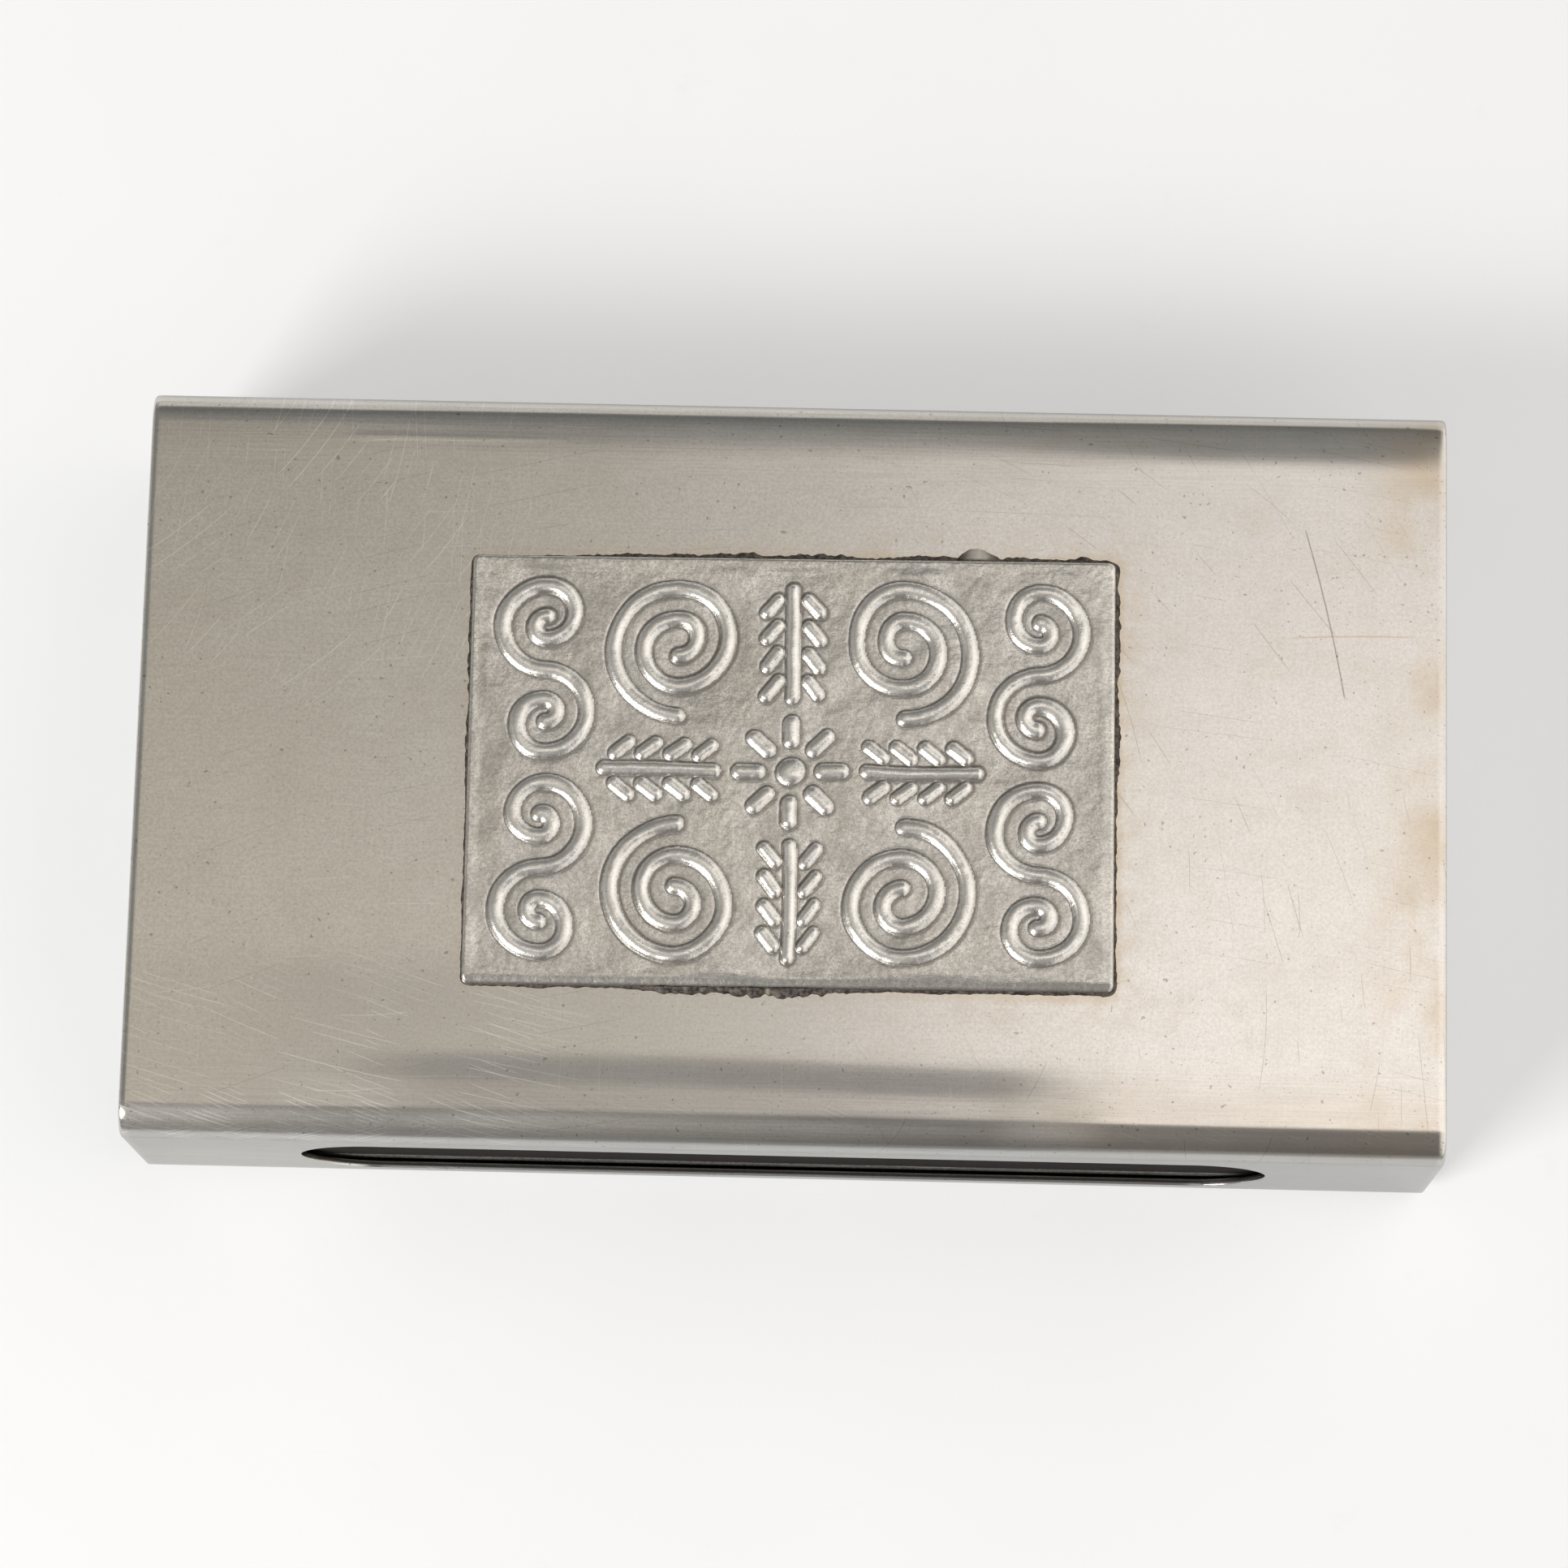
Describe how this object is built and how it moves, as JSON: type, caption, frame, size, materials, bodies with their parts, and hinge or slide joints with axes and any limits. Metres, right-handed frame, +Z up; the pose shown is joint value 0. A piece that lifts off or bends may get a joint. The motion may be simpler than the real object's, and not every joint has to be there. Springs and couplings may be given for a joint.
{
  "type": "matchbox holder",
  "caption": "Rectangular sheet-metal sleeve with open ends and long striking slots, an embossed ornamental plaque on top, holding a sliding card matchbox with its tray of matches.",
  "frame": {"origin": "bottom centre of the sleeve, on the surface it rests on", "axes": "+X along the sleeve, the way the box slides, to the picture's right; +Y to the back long side; +Z up through the plaque"},
  "size_m": [0.112, 0.0652, 0.0231],
  "materials": {
    "sleeve_metal": "satin, lightly scratched and tarnished",
    "seam_solder": "dull solder",
    "plaque_metal": "embossed, hammered ground, worn bright",
    "dark_solder": "dark oxidised solder",
    "cover_card": "printed card",
    "striker": "worn friction coating",
    "tray_card": "plain card",
    "match_wood": "raw aspen",
    "match_head": "matt"
  },
  "bodies": {
    "holder": {"sleeve": "sleeve_metal", "seam_solder": "seam_solder", "plaque": "plaque_metal", "plaque_solder": "dark_solder"},
    "matchbox": {"box_cover": "cover_card", "front_striker": "striker", "rear_striker": "striker"},
    "drawer": {"tray": "tray_card", "match_splints": "match_wood", "match_heads": "match_head"}
  },
  "joints": [
    {"name": "box_slide", "type": "slide", "parent": "holder", "child": "matchbox", "axis": [1, 0, 0], "range_m": [-0.09, 0.09]},
    {"name": "tray_slide", "type": "slide", "parent": "matchbox", "child": "drawer", "axis": [1, 0, 0], "range_m": [-0.09, 0.09]}
  ]
}
